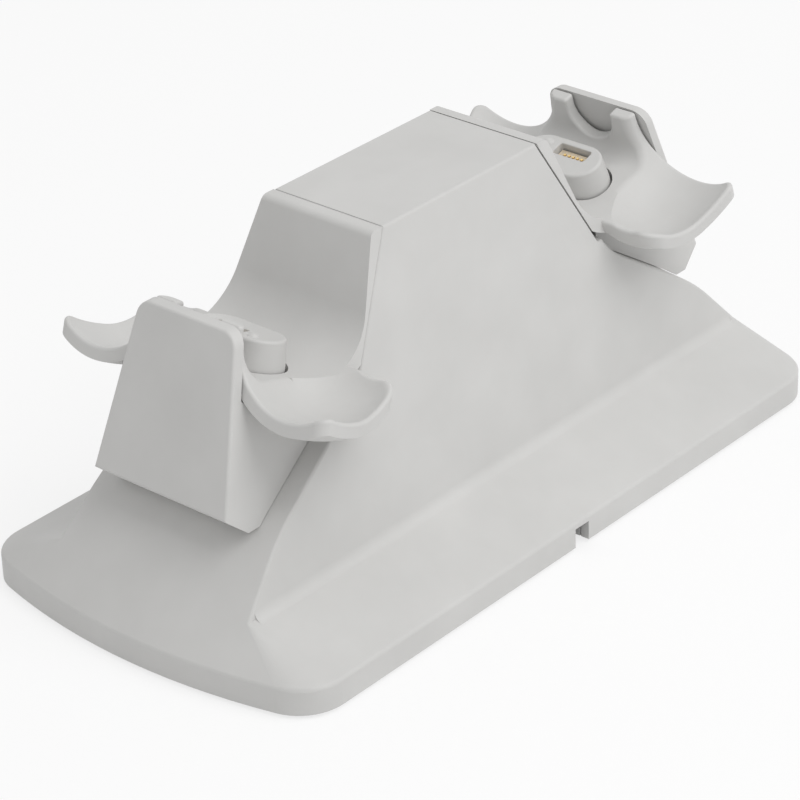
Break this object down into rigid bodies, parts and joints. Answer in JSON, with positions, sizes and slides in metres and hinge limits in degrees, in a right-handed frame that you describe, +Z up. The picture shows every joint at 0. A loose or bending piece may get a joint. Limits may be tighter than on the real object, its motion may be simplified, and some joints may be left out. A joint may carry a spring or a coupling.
{
  "type": "controller charging dock",
  "caption": "Free-standing charging dock with a drafted tower on a bowed base and a winged cradle with a contact post at each end.",
  "frame": {"origin": "middle of the base at the level of the surface it stands on", "axes": "+X along the base towards one cradle, +Y across it away from the cable notch, +Z up"},
  "size_m": [0.2196, 0.11, 0.0908],
  "materials": {
    "shell": "light warm grey, fine moulded grain",
    "insulator": "beige insulator",
    "contact_metal": "plated contacts",
    "board": "green solder resist",
    "board_parts": "black moulded parts",
    "socket_steel": "drawn steel shell",
    "screw_steel": "zinc plated",
    "foot_rubber": "dark rubber",
    "lead_sheath": "black sheath"
  },
  "bodies": {
    "root": {"base_screws": "screw_steel", "board_screws": "screw_steel", "bottom_cover": "shell", "charge_parts": "board_parts", "contact_block_left": "insulator", "contact_block_right": "insulator", "contact_board_left": "board", "contact_board_right": "board", "contact_pins_left": "contact_metal", "contact_pins_right": "contact_metal", "cover_screws_left": "screw_steel", "cover_screws_right": "screw_steel", "cradle_left": "shell", "cradle_right": "shell", "cradle_screws_left": "screw_steel", "cradle_screws_right": "screw_steel", "end_cover_left": "shell", "end_cover_right": "shell", "foot_1": "foot_rubber", "foot_2": "foot_rubber", "foot_3": "foot_rubber", "foot_4": "foot_rubber", "inlet_socket": "socket_steel", "lead_left": "lead_sheath", "lead_right": "lead_sheath", "main_board": "board", "main_housing": "shell", "post_left": "shell", "post_right": "shell", "post_screws_left": "screw_steel", "post_screws_right": "screw_steel"}
  },
  "joints": []
}
